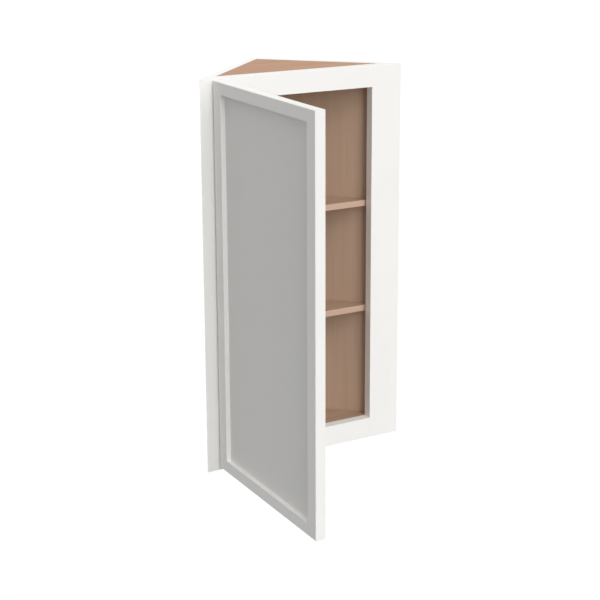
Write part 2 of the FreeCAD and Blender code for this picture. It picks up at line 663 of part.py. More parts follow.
def cup_pin_half(x):
    """Half length of a pin that ends flush with the outside of the cup."""
    across = abs(value(x) - value("cup_x")) + value("cup_pin_radius")
    return math.sqrt(value("cup_radius") ** 2 - across ** 2)


def cup_pins(prefix, level):
    radius = value("cup_pin_radius")
    reach = cup_pin_half("side_pin_x")
    shorts = []
    for side in (1, -1):
        start = vector("side_pin_x", "side_pin_y") + FreeCAD.Vector(0, 0, side * value("short_pin_inner"))
        shorts.append(cylinder(radius, start, start + FreeCAD.Vector(0, 0, side * (reach - value("short_pin_inner")))))
    place_on_door(group(prefix + "_hinge_side_pins", shorts), level)
    half = FreeCAD.Vector(0, 0, cup_pin_half("centre_pin_x"))
    middle = vector("centre_pin_x", "centre_pin_y")
    place_on_door(group(prefix + "_hinge_centre_pin", [cylinder(radius, middle - half, middle + half)]), level)


def cup_screws(prefix, level):
    screws = []
    for side in ("", "-"):
        seat = vector("cup_x + ear_offset", "door_back_y + flange_thickness", side + "ear_spread / 2")
        head = Part.makeCylinder(value("cup_screw_head"), value("screw_head_height"), seat, FreeCAD.Vector(0, 1, 0))
        length = value("cup_screw_length + flange_thickness")
        shank = Part.makeCylinder(value("cup_screw_radius"), length, seat, FreeCAD.Vector(0, -1, 0))
        screws.append(head.fuse(shank).removeSplitter())
    place_on_door(group(prefix + "_hinge_cup_screws", screws), level)


def damper(prefix, level):
    """The soft-close damper, a small cylinder and its rod that lie on the floor of the cup."""
    middle = vector("cup_x + damper_offset", "door_back_y - cup_depth + cup_floor + damper_radius")
    half = FreeCAD.Vector(0, 0, value("damper_half"))
    third = half * (1 / 3)
    barrel = cylinder(value("damper_radius"), middle - half, middle + third)
    rod = cylinder(value("damper_radius / 2"), middle + third, middle + half)
    place_on_door(group(prefix + "_hinge_damper", [barrel.fuse(rod).removeSplitter()]), level)


def turned(point, angle):
    """A point turned about the origin, degrees anticlockwise seen from above."""
    return FreeCAD.Rotation(FreeCAD.Vector(0, 0, 1), angle).multVec(point)


def cup_pin_at(name, opening):
    """Where a cup pin is when the door is this far open."""
    pivot = vector("pivot_x", "pivot_y")
    return pivot + turned(vector(name + "_pin_x", name + "_pin_y") - pivot, -opening)


def strip_outline(points):
    """A bent strip round a line of points, with round ends, as a face."""
    line = Part.makePolygon(points)
    return Part.Face(line.makeOffset2D(value("link_thickness / 2"), 0, False, False, False))


def disc(centre, radius):
    return Part.Face(Part.Wire(Part.makeCircle(radius, centre)))


def slot_face(middle, along, half_length, radius):
    """A straight slot with round ends, as a face."""
    ends = [middle - along * half_length, middle + along * half_length]
    across = FreeCAD.Vector(-along.y, along.x, 0) * radius
    corners = [ends[0] - across, ends[1] - across, ends[1] + across, ends[0] + across]
    sides = [Part.LineSegment(corners[0], corners[1]), Part.LineSegment(corners[2], corners[3])]
    caps = [Part.Arc(corners[1], ends[1] + along * radius, corners[2]),
            Part.Arc(corners[3], ends[0] - along * radius, corners[0])]
    edges = [sides[0], caps[0], sides[1], caps[1]]
    return Part.Face(Part.Wire([edge.toShape() for edge in edges]))


def link(name, inner_knee, rises, start, end):
    """A link of the closed hinge between two heights, from its eye on the cup pin, through the
    gap between the door and the face frame, to the slot round the bracket pin. The slot is the
    open pivot of the linkage: its length takes up what the pin travels in it as the door
    swings."""
    pin = cup_pin_at(name, 0)
    arm = vector(name + "_arm_x", name + "_arm_y")
    along = arm - pin
    along.normalize()
    distances = [(arm - cup_pin_at(name, opening)).Length for opening in range(0, 106, 15)]
    slot_middle = pin + along * ((min(distances) + max(distances)) / 2)
    gap_y = "front_y - door_gap / 2 - link_drop"
    bends = [vector("cup_x + link_thickness", inner_knee), vector("cup_x + cup_radius / 2", "side_pin_y"),
             vector("-opening_x - 1.5 * link_thickness", gap_y), vector("-opening_x + 2 * link_thickness", gap_y)]
    if name == "side":
        bends = bends[1:]
    bends = bends + [vector(x, y) for x, y in rises]
    travel = value("slot_half_length")
    bore = value("arm_pin_radius + slot_half_width")
    rise = FreeCAD.Vector(0, 0, value(end) - value(start))

    def bar(face):
        face.translate(FreeCAD.Vector(0, 0, value(start)))
        return face.extrude(rise)

    strip = bar(strip_outline([pin] + bends + [slot_middle]))
    outer = bar(slot_face(slot_middle, along, travel, bore + value("slot_wall")))
    solid = strip.fuse([bar(disc(pin, value("link_eye"))), outer])
    pin_bore = bar(disc(pin, value("cup_pin_radius + link_eye_room")))
    solid = solid.cut([pin_bore, bar(slot_face(slot_middle, along, travel, bore))]).removeSplitter()
    if len(solid.Solids) != 1:
        raise RuntimeError("a link isn't one solid")
    return solid.Solids[0]


def place_link(item, name, level):
    """Turns a link from the closed hinge to the rest opening: its eye stays on the cup pin and
    it points at the bracket pin."""
    arm = vector(name + "_arm_x", name + "_arm_y")
    closed = cup_pin_at(name, 0)
    rest = cup_pin_at(name, value("rest_opening"))
    turn = math.degrees(math.atan2(arm.y - rest.y, arm.x - rest.x)
                        - math.atan2(arm.y - closed.y, arm.x - closed.x))
    item.Placement = FreeCAD.Placement(rest - turned(closed, turn) + FreeCAD.Vector(0, 0, value(level)),
                                       FreeCAD.Rotation(FreeCAD.Vector(0, 0, 1), turn))


def links(prefix, level):
    rises = [("-opening_x + 4", "front_y + 3")]
    pair = [link("side", "side_pin_y", rises, "side_link_inner", "side_link_outer"),
            link("side", "side_pin_y", rises, "-side_link_outer", "-side_link_inner")]
    place_link(group(prefix + "_hinge_side_links", pair), "side", level)
    centre = link("centre", "centre_pin_y + 0.4", [], "-centre_link_half", "centre_link_half")
    place_link(group(prefix + "_hinge_centre_link", [centre]), "centre", level)


def frame_bracket(label, level):
    """The bracket on the opening edge of the stile: a screwed foot, two cheeks that hold the
    bracket pins, and a web that joins them at the back."""
    body = new_body(label)
    edge = "-opening_x"
    plate = "-opening_x + bracket_thickness"
    tip = "-opening_x + cheek_reach"
    front = "front_y + cheek_front"
    back = "front_y + bracket_back"
    foot = new_sketch(body, "XY_Plane")
    add_outline(foot, [(edge, "front_y + bracket_foot_front"), (plate, "front_y + bracket_foot_front"),
                       (plate, back), (edge, back)])
    pad(body, foot, "2 * bracket_foot_half", both_ways=True)
    block = new_sketch(body, "XY_Plane")
    add_outline(block, [(edge, "front_y + bracket_foot_front"), (plate, front), (tip + " - cheek_bevel", front),
                        (tip, front + " + cheek_bevel"), (tip, back + " - cheek_bevel"),
                        (tip + " - cheek_bevel", back), (edge, back)])
    pad(body, block, "2 * cheek_outer", both_ways=True)
    channel = new_sketch(body, "XY_Plane")
    add_outline(channel, [(plate, "front_y - frame_thickness"), (tip + " + cheek_reach", "front_y - frame_thickness"),
                          (tip + " + cheek_reach", back + " - bracket_thickness"), (plate, back + " - bracket_thickness")])
    pocket(body, channel, "cheek_inner")
    pins = new_sketch(body, "XY_Plane")
    for name in ("side", "centre"):
        add_circle(pins, name + "_arm_x", name + "_arm_y", "arm_pin_radius")
    pocket(body, pins, "cheek_outer")
    screws = new_sketch(body, "YZ_Plane", plate)
    for side in ("", "-"):
        add_circle(screws, "front_y + frame_thickness / 2", side + "bracket_screw_spread / 2", "bracket_screw_radius")
    pocket(body, screws, "bracket_thickness")
    place(body, z=level)


def bracket_fittings(prefix, level):
    """Pins, screws and leaf spring of one bracket."""
    half = FreeCAD.Vector(0, 0, value("cheek_outer"))
    pins = []
    for name in ("side", "centre"):
        middle = vector(name + "_arm_x", name + "_arm_y")
        pins.append(cylinder(value("arm_pin_radius"), middle - half, middle + half))
    place(group(prefix + "_hinge_arm_pins", pins), z=level)

    screws = []
    for side in ("", "-"):
        seat = vector("-opening_x + bracket_thickness", "front_y + frame_thickness / 2",
                      side + "bracket_screw_spread / 2")
        head = Part.makeCylinder(value("bracket_screw_head"), value("2 * screw_head_height"), seat,
                                 FreeCAD.Vector(1, 0, 0))
        shank = Part.makeCylinder(value("bracket_screw_radius"), value("bracket_screw_length"), seat,
                                  FreeCAD.Vector(-1, 0, 0))
        screws.append(head.fuse(shank).removeSplitter())
    place(group(prefix + "_hinge_bracket_screws", screws), z=level)

    web_y = "front_y + bracket_back - bracket_thickness - spring_thickness / 2"
    path = [vector("-opening_x + bracket_thickness + spring_thickness", web_y), vector("centre_arm_x + 2", web_y),
            vector("centre_arm_x + 2", "side_arm_y"), vector("centre_arm_x", "side_arm_y - 1.6")]
    leaf = Part.Face(Part.makePolygon(path).makeOffset2D(value("spring_thickness / 2"), 2, False, False, False))
    width = value("centre_link_half") - 0.3
    leaf.translate(FreeCAD.Vector(0, 0, -width))
    spring = group(prefix + "_hinge_spring", [leaf.extrude(FreeCAD.Vector(0, 0, 2 * width))])
    place(spring, z=level)


def build_hinges():
    for prefix in ("lower", "upper"):
        level = prefix + "_hinge_z"
        hinge_cup(prefix + "_hinge_cup", level)
        cup_pins(prefix, level)
        cup_screws(prefix, level)
        damper(prefix, level)
        links(prefix, level)
        frame_bracket(prefix + "_hinge_bracket", level)
        bracket_fittings(prefix, level)


# ---------------------------------------------------------------- checks and output

def check_document():
    for item in DOC.Objects:
        if "Invalid" in item.State or "Error" in item.State:
            raise RuntimeError("%s did not build: %s" % (item.Name, item.State))
    for node in NODES:
        if node.Shape.isNull() or not node.Shape.isValid():
            raise RuntimeError(node.Label + " has no valid shape")


def write_parts():
    os.makedirs("parts", exist_ok=True)
    for node in NODES:
        node.Shape.exportStep(os.path.join("parts", node.Label + ".step"))


fill_sheets()
build_carcass()
build_shelves()
build_door()
build_hinges()
DOC.recompute()
check_document()
write_parts()
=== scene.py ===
import json
import math

import bpy
from mathutils import Matrix, Vector

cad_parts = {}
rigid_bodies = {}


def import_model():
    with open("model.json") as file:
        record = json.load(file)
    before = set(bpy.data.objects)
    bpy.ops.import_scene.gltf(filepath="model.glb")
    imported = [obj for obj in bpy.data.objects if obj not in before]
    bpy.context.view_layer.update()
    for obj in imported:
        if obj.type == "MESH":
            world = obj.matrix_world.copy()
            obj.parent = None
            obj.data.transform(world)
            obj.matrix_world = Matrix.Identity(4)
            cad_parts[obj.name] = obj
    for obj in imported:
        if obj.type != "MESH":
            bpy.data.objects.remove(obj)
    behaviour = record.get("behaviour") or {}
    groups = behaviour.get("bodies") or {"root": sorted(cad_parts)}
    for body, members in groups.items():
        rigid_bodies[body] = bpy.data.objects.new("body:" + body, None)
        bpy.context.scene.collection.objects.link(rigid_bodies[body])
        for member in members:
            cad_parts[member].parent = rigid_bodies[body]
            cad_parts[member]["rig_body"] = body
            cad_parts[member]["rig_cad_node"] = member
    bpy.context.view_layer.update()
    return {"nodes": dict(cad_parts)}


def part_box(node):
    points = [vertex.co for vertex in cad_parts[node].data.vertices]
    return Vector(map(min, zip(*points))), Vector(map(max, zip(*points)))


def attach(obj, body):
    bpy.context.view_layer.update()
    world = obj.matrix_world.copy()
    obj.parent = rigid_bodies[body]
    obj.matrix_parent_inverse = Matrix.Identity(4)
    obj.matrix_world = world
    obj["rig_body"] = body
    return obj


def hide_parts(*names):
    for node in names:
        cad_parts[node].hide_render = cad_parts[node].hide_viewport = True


bl_info = {
    "name": "Corner wall cabinet",
    "version": (1, 0, 0),
    "blender": (4, 5, 0),
    "location": "3D View > Sidebar > Cabinet",
    "description": "Finishes a corner wall cabinet: white lacquer, maple inside, concealed hinges",
    "category": "Object",
}

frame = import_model()

MM = 0.001
# Places this near to each other are taken as one.
SAME = 0.001 * MM
UP = Vector((0, 0, 1))
# Each side panel: the direction out to the wall, and the one from its rear edge to its front.
OUT_RIGHT = Vector((1, 1, 0)).normalized()
FORE_RIGHT = Vector((1, -1, 0)).normalized()
OUT_LEFT = Vector((-1, 1, 0)).normalized()
FORE_LEFT = Vector((-1, -1, 0)).normalized()
# The back of the open door faces +X, as the stile's edge that carries the hinges does.
DOOR_BACK = Vector((1, 0, 0))
HINGES = ("lower_hinge", "upper_hinge")
WHITE = [1, 1, 1, 1]
# The photograph's camera: its place in metres, its turn in degrees, its focal length in pixels,
# and the pixel that lies straight ahead of it, in an image 600 pixels wide and high.
EYE = Vector((-1.36288, -2.66218, 1.16079))
YAW, PITCH = 29.96, 14.69
FOCAL, AHEAD_X, AHEAD_Y = 1502.96, 325.88, 244.41
IMAGE = 600


def linear(colour):
    """Turns an sRGB hex colour to the linear numbers that shaders take."""
    levels = [int(colour[i:i + 2], 16) / 255 for i in (1, 3, 5)]
    return [c / 12.92 if c <= 0.04045 else ((c + 0.055) / 1.055) ** 2.4 for c in levels]


def colour_prop(name, description, colour):
    return bpy.props.FloatVectorProperty(name=name, description=description, size=3, subtype="COLOR",
                                         min=0, max=1, default=linear(colour))


def length_prop(name, description, millimetres):
    return bpy.props.FloatProperty(name=name, description=description, default=millimetres * MM,
                                   min=0, subtype="DISTANCE", unit="LENGTH", precision=5)


def factor_prop(name, description, default):
    return bpy.props.FloatProperty(name=name, description=description, default=default,
                                   min=0, max=1, subtype="FACTOR")


def strength_prop(name, description, default):
    return bpy.props.FloatProperty(name=name, description=description, default=default, min=0)


# ---------------------------------------------------------------- what a user would change

class CabinetFinishes(bpy.types.PropertyGroup):
    lacquer: colour_prop("Lacquer", "White lacquer on door, face frame and outsides", "#F6F5F2")
    # The door panel's greyer white is painted shade: a darker copy of the lacquer that stands in for the
    # shade on the recessed panel.
    panel_painted_shade_lacquer: colour_prop("Panel lacquer", "Lacquer on the door's panel, a shade greyer", "#E8E7E4")
    lacquer_roughness: factor_prop("Lacquer roughness", "Satin sheen of the lacquer", 0.42)
    maple_deck: colour_prop("Maple top", "Maple laminate of the top deck", "#B88C6C")
    # The edge band is a real strip of maple edging; its lighter tan is painted light, standing in for
    # the brighter light on the shelves' front-facing edges.
    maple_wall: colour_prop("Maple inside", "Maple laminate inside the cabinet", "#B49882")
    maple_edge_painted_light: colour_prop("Edge band", "Maple edge band on the shelves", "#CBAB97")
    maple_roughness: factor_prop("Maple roughness", "Low sheen of the laminate", 0.62)
    core: colour_prop("Board core", "Chip core that shows in drilled holes", "#B08D68")
    beech: colour_prop("Beech", "Bare beech of the dowels", "#D0A679")
    nickel: colour_prop("Nickel", "Nickel-plated pressed steel of the hinges", "#C9C6C0")
    zinc: colour_prop("Zinc", "Zinc-plated screws", "#B9BBB8")
    turned_steel: colour_prop("Turned steel", "Hinge pins", "#A9A8A6")
    spring_steel: colour_prop("Spring steel", "Oiled leaf springs", "#6E6C69")
    acetal: colour_prop("Acetal", "Moulded body of the dampers", "#D4D3CE")
    bumper: colour_prop("Bumper", "Clear soft bumpers", "#E6E6E2")


class CabinetSizes(bpy.types.PropertyGroup):
    board_round: length_prop("Board rounding", "Rounding of the lacquered board edges", 0.6)
    shelf_round: length_prop("Shelf rounding", "Rounding of the shelves' edges and edge bands", 0.4)
    metal_round: length_prop("Metal rounding", "Rounding of the pressed steel edges", 0.25)
    recess_width: length_prop("Recess width", "Width of the wings of a screw's cross recess", 0.9)
    recess_reach: factor_prop("Recess reach", "Length of the wings as a share of the head", 0.62)
    recess_depth: length_prop("Recess depth", "Depth of a screw's cross recess", 1.1)
    figure_width: length_prop("Figure width", "Width of the maple's light and dark bands", 34)
    grain_width: length_prop("Grain width", "Width of the maple's fine grain lines", 2.4)
    grain_length: length_prop("Grain length", "Length of the maple's grain lines", 140)
    peel_width: length_prop("Orange peel", "Width of the lacquer's faint waves", 2.2)


class CabinetStudio(bpy.types.PropertyGroup):
    ambient: strength_prop("Ambient", "Even light from all round", 0.515)
    front: strength_prop("Front light", "Large soft lamp straight in front", 1.22)
    key: strength_prop("Key light", "Large soft lamp, in front and high", 1.05)
    top: strength_prop("Top light", "Very large soft lamp overhead", 0.35)
    back: strength_prop("Back light", "Very large soft lamp behind, for the wall sides", 0.6)
    floor: colour_prop("Floor", "Pale matt paint of the floor, as the camera sees it", "#E7E7E7")
    floor_bounce: colour_prop("Floor bounce", "How much light the floor throws back up", "#838383")
    floor_glow: factor_prop("Floor glow", "Share of even white, which keeps the shadows pale", 0.75)
    floor_white: strength_prop("Floor white", "Strength of that even white", 1.13)
    floor_drop: length_prop("Floor below", "Floor under the hung cabinet", 1372)


# ---------------------------------------------------------------- materials

def add_node(material, kind, settings=None, inputs=None, links=None):
    """Adds a node: its settings, numbers on its sockets, and links into its sockets."""
    node = material.node_tree.nodes.new(kind)
    for name, value in (settings or {}).items():
        setattr(node, name, value)
    for name, value in (inputs or {}).items():
        node.inputs[name].default_value = value
    for name, socket in (links or {}).items():
        material.node_tree.links.new(socket, node.inputs[name])
    return node


def new_material(name, **numbers):
    """A material with the shader's even numbers set on its own sockets."""
    material = bpy.data.materials.new(name)
    material.use_nodes = True
    shader = material.node_tree.nodes["Principled BSDF"]
    for socket, value in numbers.items():
        shader.inputs[socket.replace("_", " ")].default_value = value
    return material, shader


def link(material, output, socket):
    material.node_tree.links.new(output, socket)


def rgba(colour):
    return [*colour, 1.0]


def object_noise(material, size, detail=2.0, roughness=0.5):
    """Noise whose features are about `size` wide, in metres along each axis of the cabinet."""
    place = add_node(material, "ShaderNodeTexCoord")
    sized = add_node(material, "ShaderNodeMapping", {"vector_type": "POINT"},
                     {"Scale": [1 / s for s in size]}, {"Vector": place.outputs["Object"]})
    return add_node(material, "ShaderNodeTexNoise", None,
                    {"Scale": 1.0, "Detail": detail, "Roughness": roughness},
                    {"Vector": sized.outputs["Vector"]})


def vary_roughness(material, shader, noise, low, high):
    spread = add_node(material, "ShaderNodeMapRange", None,
                      {"From Min": 0.3, "From Max": 0.7, "To Min": low, "To Max": high},
                      {"Value": noise.outputs["Fac"]})
    link(material, spread.outputs["Result"], shader.inputs["Roughness"])


def add_bump(material, shader, height, strength, distance):
    bump = add_node(material, "ShaderNodeBump", None, {"Strength": strength, "Distance": distance},
                    {"Height": height})
    link(material, bump.outputs["Normal"], shader.inputs["Normal"])


def two_tone(material, noise, low, high, start=0.35, end=0.65):
    ramp = add_node(material, "ShaderNodeValToRGB", None, None, {"Fac": noise.outputs["Fac"]})
    ramp.color_ramp.elements[0].position = start
    ramp.color_ramp.elements[0].color = rgba(low)
    ramp.color_ramp.elements[1].position = end
    ramp.color_ramp.elements[1].color = rgba(high)
    return ramp


def satin_lacquer(name, colour):
    """Sprayed satin lacquer on board: an even white film with a low broad sheen, whose faint
    waves and slight change of sheen break up the reflections."""
    looks, sizes = bpy.context.scene.cabinet_finishes, bpy.context.scene.cabinet_sizes
    material, shader = new_material(name, IOR=1.5)
    film = object_noise(material, [90 * MM] * 3)
    tone = two_tone(material, film, [c * 0.985 for c in colour], colour)
    link(material, tone.outputs["Color"], shader.inputs["Base Color"])
    sheen = looks.lacquer_roughness
    vary_roughness(material, shader, film, sheen - 0.03, sheen + 0.03)
    # The real waves are under 0.01 mm high and show only in the sheen.
    peel = object_noise(material, [sizes.peel_width] * 3)
    add_bump(material, shader, peel.outputs["Fac"], 0.12, 0.1 * MM)


def maple_laminate(name, grain, colour):
    """Printed maple laminate on board, dull satin: straight fine grain along `grain`, over broad
    soft bands of a lighter and a darker tan."""
    looks, sizes = bpy.context.scene.cabinet_finishes, bpy.context.scene.cabinet_sizes
    material, shader = new_material(name, IOR=1.4)

    def stretched(width, length):
        return [length if axis == grain else width for axis in "XYZ"]

    figure = object_noise(material, stretched(sizes.figure_width, sizes.grain_length * 5), 3.0)
    lines = object_noise(material, stretched(sizes.grain_width, sizes.grain_length), 4.0, 0.6)
    bands = two_tone(material, figure, [c * 0.93 for c in colour], [min(c * 1.06, 1) for c in colour])
    streaks = two_tone(material, lines, [0.965, 0.957, 0.95], [1.0, 1.0, 1.0], 0.38, 0.58)
    grained = add_node(material, "ShaderNodeMix", {"data_type": "RGBA", "blend_type": "MULTIPLY"},
                       {"Factor": 1.0})
    link(material, bands.outputs["Color"], grained.inputs[6])
    link(material, streaks.outputs["Color"], grained.inputs[7])
    link(material, grained.outputs[2], shader.inputs["Base Color"])
    sheen = looks.maple_roughness
    vary_roughness(material, shader, lines, sheen - 0.05, sheen + 0.05)
    add_bump(material, shader, lines.outputs["Fac"], 0.15, 0.1 * MM)


def chip_core():
    """Chipboard core, sawn or drilled: coarse tan chips, quite rough."""
    looks = bpy.context.scene.cabinet_finishes
    material, shader = new_material("chipboard_core", IOR=1.45)
    chips = object_noise(material, [2.2 * MM, 2.2 * MM, 1.4 * MM], 3.0, 0.7)
    tone = two_tone(material, chips, [c * 0.62 for c in looks.core], looks.core, 0.3, 0.7)
    link(material, tone.outputs["Color"], shader.inputs["Base Color"])
    vary_roughness(material, shader, chips, 0.8, 0.95)
    add_bump(material, shader, chips.outputs["Fac"], 0.6, 0.5 * MM)


def bare_beech():
    """Turned beech, unfinished: pale pink tan with short flecks along the dowel."""
    looks = bpy.context.scene.cabinet_finishes
    material, shader = new_material("bare_beech", IOR=1.45)
    flecks = object_noise(material, [6 * MM, 0.8 * MM, 0.8 * MM], 3.0)
    tone = two_tone(material, flecks, [c * 0.8 for c in looks.beech], looks.beech)
    link(material, tone.outputs["Color"], shader.inputs["Base Color"])
    vary_roughness(material, shader, flecks, 0.7, 0.85)
    add_bump(material, shader, flecks.outputs["Fac"], 0.3, 0.2 * MM)


def plated_steel(name, colour, low, high, marks_size):
    """Steel with its real colour and a sheen that varies a little with the marks of how it was
    worked, `marks_size` being the size of those marks."""
    material, shader = new_material(name, Metallic=1.0)
    marks = object_noise(material, [marks_size] * 3, 3.0, 0.6)
    tone = two_tone(material, marks, [c * 0.97 for c in colour], colour)
    link(material, tone.outputs["Color"], shader.inputs["Base Color"])
    vary_roughness(material, shader, marks, low, high)
    add_bump(material, shader, marks.outputs["Fac"], 0.04, 0.01 * MM)


def moulded_plastic(name, colour, low, high, **numbers):
    """Injection-moulded plastic: an even colour with a fine spark-eroded grain."""
    material, shader = new_material(name, **numbers)
    grain = object_noise(material, [0.8 * MM] * 3, 3.0)
    tone = two_tone(material, grain, [c * 0.96 for c in colour], colour)
    link(material, tone.outputs["Color"], shader.inputs["Base Color"])
    vary_roughness(material, shader, grain, low, high)
    add_bump(material, shader, grain.outputs["Fac"], 0.2, 0.05 * MM)


class CABINET_OT_finishes(bpy.types.Operator):
    """Lacquer, maple laminate, board core, beech, plated metals and moulded plastics"""
    bl_idname = "cabinet.finishes"
    bl_label = "Finishes"

    def execute(self, context):
        looks = context.scene.cabinet_finishes
        satin_lacquer("sprayed_satin_lacquer", looks.lacquer)
        # A darker copy of the lacquer for the door panel, with painted shade for the recessed panel.
        satin_lacquer("satin_lacquer_panel_painted_shade", looks.panel_painted_shade_lacquer)
        maple_laminate("maple_laminate_upright", "Z", looks.maple_wall)
        maple_laminate("maple_laminate_across", "X", looks.maple_wall)
        maple_laminate("maple_laminate_top", "X", looks.maple_deck)
        # The edge band's lighter tan is painted light for the brightly lit front edges of the shelves.
        maple_laminate("edge_band_maple_painted_light", "X", looks.maple_edge_painted_light)
        chip_core()
        bare_beech()
        plated_steel("nickel_plated_pressed_steel", looks.nickel, 0.27, 0.3, 0.7 * MM)
        plated_steel("zinc_plated_steel", looks.zinc, 0.34, 0.4, 0.5 * MM)
        plated_steel("turned_pin_steel", looks.turned_steel, 0.23, 0.28, 0.4 * MM)
        plated_steel("oiled_spring_steel", looks.spring_steel, 0.34, 0.4, 0.6 * MM)
        moulded_plastic("moulded_acetal", looks.acetal, 0.35, 0.5, IOR=1.48)
        moulded_plastic("clear_soft_bumper", looks.bumper, 0.2, 0.32,
                        IOR=1.5, Transmission_Weight=0.55)
        return {"FINISHED"}


def finish(name):
    return bpy.data.materials[name]


# ---------------------------------------------------------------- shaping

def select_only(*pieces):
    bpy.ops.object.select_all(action="DESELECT")
    for piece in pieces:
        piece.select_set(True)
    bpy.context.view_layer.objects.active = pieces[0]


def edit(piece):
    """Starts edit mode on one piece with all of it selected."""
    select_only(piece)
    bpy.ops.object.mode_set(mode="EDIT")
    bpy.ops.mesh.select_mode(type="VERT")
    bpy.ops.mesh.select_all(action="SELECT")


def end_edit():
    bpy.ops.object.mode_set(mode="OBJECT")


def copy_of(node, name):
    """A copy of a CAD node with its loose triangles merged to whole flat faces."""
    select_only(frame["nodes"][node])
    bpy.ops.object.duplicate()
    piece = bpy.context.active_object
    piece.name = piece.data.name = name
    piece.parent = None
    del piece["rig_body"]
    del piece["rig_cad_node"]
    piece.data.materials.clear()
    edit(piece)
    bpy.ops.mesh.customdata_custom_splitnormals_clear()
    bpy.ops.mesh.remove_doubles(threshold=0.002 * MM)
    bpy.ops.mesh.dissolve_limited(angle_limit=math.radians(0.4))
    bpy.ops.mesh.normals_make_consistent(inside=False)
    end_edit()
    return piece


def span(points, along):
    """The lowest and the highest of some points in a direction."""
    levels = [point.dot(along) for point in points]
    return min(levels), max(levels)


def select_nothing_in(piece):
    for part in (piece.data.vertices, piece.data.edges, piece.data.polygons):
        part.foreach_set("select", [False] * len(part))


def select_faces(piece, wanted):
    """Selects the faces whose normal is wanted."""
    select_nothing_in(piece)
    for face in piece.data.polygons:
        face.select = wanted(face.normal)


def select_edges(piece, wanted):
    """Selects the edges whose two ends are wanted, where the faces beside them meet sharply,
    and returns how many."""
    normals = {}
    for face in piece.data.polygons:
        for key in face.edge_keys:
            normals.setdefault(key, []).append(face.normal)
    select_nothing_in(piece)
    count = 0
    for edge in piece.data.edges:
        beside = normals.get(edge.key, [])
        if len(beside) == 2 and beside[0].dot(beside[1]) < 0.8:
            ends = [piece.data.vertices[i].co for i in edge.vertices]
            if wanted(ends[0], ends[1]):
                edge.select = True
                count += 1
    return count


def round_edges(piece, wanted, size, segments=2):
    if not select_edges(piece, wanted):
        raise RuntimeError(piece.name + " has no edge to round")
    select_only(piece)
    bpy.ops.object.mode_set(mode="EDIT")
    bpy.ops.mesh.select_mode(type="EDGE")
    bpy.ops.mesh.bevel(offset=size, segments=segments, affect="EDGES", profile=0.5)
    end_edit()


def paint_faces(piece, materials):
    """Gives each face the last of the materials whose rule wants it; the first is for the rest."""
    for index, (name, wanted) in enumerate(materials):
        piece.data.materials.append(finish(name))
        for face in piece.data.polygons:
            if wanted is None or wanted(face.center, face.normal):
                face.material_index = index


def shade_smooth(piece):
    """Smooth shading over the round edges that leaves the flat faces flat."""
    select_only(piece)
    bpy.ops.object.shade_smooth_by_angle(angle=math.radians(35), keep_sharp_edges=False)
    weighted = piece.modifiers.new("weighted_normals", "WEIGHTED_NORMAL")
    weighted.keep_sharp = True
    bpy.ops.object.modifier_apply(modifier=weighted.name)


def bevel_all(piece, width, segments=2):
    """Rounds every sharp edge of a small turned, pressed or moulded piece."""
    rounding = piece.modifiers.new("rounding", "BEVEL")
    rounding.width = width
    rounding.segments = segments
    rounding.limit_method = "ANGLE"
    rounding.angle_limit = math.radians(40)
    rounding.use_clamp_overlap = True
    select_only(piece)
    bpy.ops.object.modifier_apply(modifier=rounding.name)


def solids_of(piece):
    """The vertex places of each separate solid in a piece."""
    beside = {vertex.index: [] for vertex in piece.data.vertices}
    for start, end in (edge.vertices for edge in piece.data.edges):
        beside[start].append(end)
        beside[end].append(start)
    solids, seen = [], set()
    for first in beside:
        if first in seen:
            continue
        solid, found = [], [first]
        seen.add(first)
        while found:
            index = found.pop()
            solid.append(piece.data.vertices[index].co.copy())
            fresh = [other for other in beside[index] if other not in seen]
            seen.update(fresh)
            found.extend(fresh)
        solids.append(solid)
    return solids


def end_disc(points, out):
    """The centre and radius of a turned solid's end face in a direction."""
    top = span(points, out)[1]
    rim = [point for point in points if point.dot(out) > top - SAME]
    centre = sum(rim, Vector()) / len(rim)
    return centre, max((point - centre).length for point in rim)


def cross_cutter(reach, width, depth):
    """A driver's cross tip that points down at the origin, with tapered wings."""
    over = 0.2 * MM
    bpy.ops.object.select_all(action="DESELECT")
    bpy.ops.mesh.primitive_cube_add(size=1, location=(0, 0, (over - depth) / 2),
                                    scale=(width, width, over + depth))
    tip = bpy.context.active_object
    bpy.ops.object.transform_apply(location=True, rotation=True, scale=True)
    select_faces(tip, lambda normal: abs(normal.z) < 0.5)
    bpy.ops.object.mode_set(mode="EDIT")
    bpy.ops.mesh.select_mode(type="FACE")
    bpy.ops.mesh.extrude_faces_move(TRANSFORM_OT_shrink_fatten={"value": reach - width / 2})
    end_edit()
    select_faces(tip, lambda normal: normal.z < -0.5)
    bpy.ops.object.mode_set(mode="EDIT")
    bpy.ops.transform.resize(value=(0.45, 0.45, 1), center_override=(0, 0, -depth))
    end_edit()
    return tip


def cut_recesses(piece, outwards):
    """Cuts a cross recess in the head of each screw; `outwards` gives a screw's way out."""
    sizes = bpy.context.scene.cabinet_sizes
    heads = []
    for solid in solids_of(piece):
        out = outwards(sum(solid, Vector()) / len(solid))
        heads.append((end_disc(solid, out), out))
    radius = heads[0][0][1]
    tip = cross_cutter(radius * sizes.recess_reach, sizes.recess_width, sizes.recess_depth)
    tips = []
    for (centre, _), out in heads:
        select_only(tip)
        bpy.ops.object.duplicate()
        copy = bpy.context.active_object
        copy.matrix_world = Matrix.Translation(centre) @ out.to_track_quat("Z", "X").to_matrix().to_4x4()
        tips.append(copy)
    bpy.data.objects.remove(tip)
    select_only(*tips)
    bpy.ops.object.transform_apply(location=True, rotation=True, scale=True)
    bpy.ops.object.join()
    cutter = bpy.context.active_object
    cut = piece.modifiers.new("recesses", "BOOLEAN")
    cut.operation = "DIFFERENCE"
    cut.solver = "EXACT"
    cut.object = cutter
    select_only(piece)
    bpy.ops.object.modifier_apply(modifier=cut.name)
    bpy.data.objects.remove(cutter)


